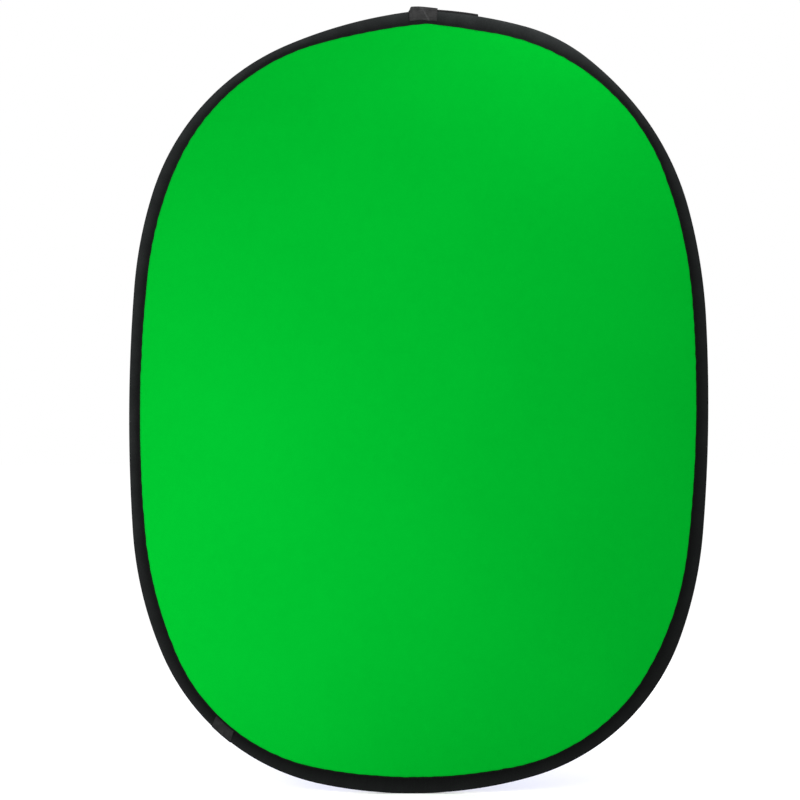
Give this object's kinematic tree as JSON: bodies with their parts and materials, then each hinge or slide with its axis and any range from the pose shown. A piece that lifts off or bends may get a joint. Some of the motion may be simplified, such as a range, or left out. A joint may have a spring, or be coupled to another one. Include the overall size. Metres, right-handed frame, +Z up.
{
  "type": "collapsible studio background",
  "caption": "Oval pop-up studio background: a sprung steel hoop in a black binding, green cloth in front, blue cloth behind, hanging loop on top.",
  "frame": {"origin": "lowest point of the rim's box, at its middle across and in depth: z = 0 is where the bottom edge rests", "axes": "+Z up along the oval's height, -Y towards the viewer out of the green face, +Y out of the blue face, +X to the right seen from the green side"},
  "size_m": [1.4792, 0.0204, 2.0087],
  "materials": {
    "green_cloth": "smooth matte cotton, bright green",
    "blue_cloth": "smooth matte cotton, bright blue",
    "binding_tape": "woven polyester tape, black, worn paler at its folds",
    "patch_cloth": "woven nylon, dark grey, matte",
    "loop_webbing": "ribbed nylon webbing, black",
    "black_thread": "bonded nylon thread, black",
    "wrap_tape": "cotton cloth tape, black",
    "spring_steel": "blued, lightly oiled",
    "plated_steel": "zinc plated, satin",
    "rivet_metal": "satin"
  },
  "bodies": {
    "frame": {"spring_band": "spring_steel", "joint_sleeve": "plated_steel", "joint_rivets": "rivet_metal", "joint_wrap": "wrap_tape", "front_panel": "green_cloth", "rear_panel": "blue_cloth", "edge_binding": "binding_tape", "binding_thread_front": "black_thread", "binding_thread_rear": "black_thread", "closing_patch": "patch_cloth", "closing_patch_thread": "black_thread", "loop_patch": "patch_cloth", "loop_patch_thread": "black_thread", "loop_tail": "loop_webbing"},
    "loop": {"hanging_loop": "loop_webbing"}
  },
  "joints": [
    {"name": "loop_lift", "type": "hinge", "parent": "frame", "child": "loop", "pos_m": [0.04849, 0, 2.00661], "axis": [0, -1, 0], "range_deg": [0, 160]}
  ]
}
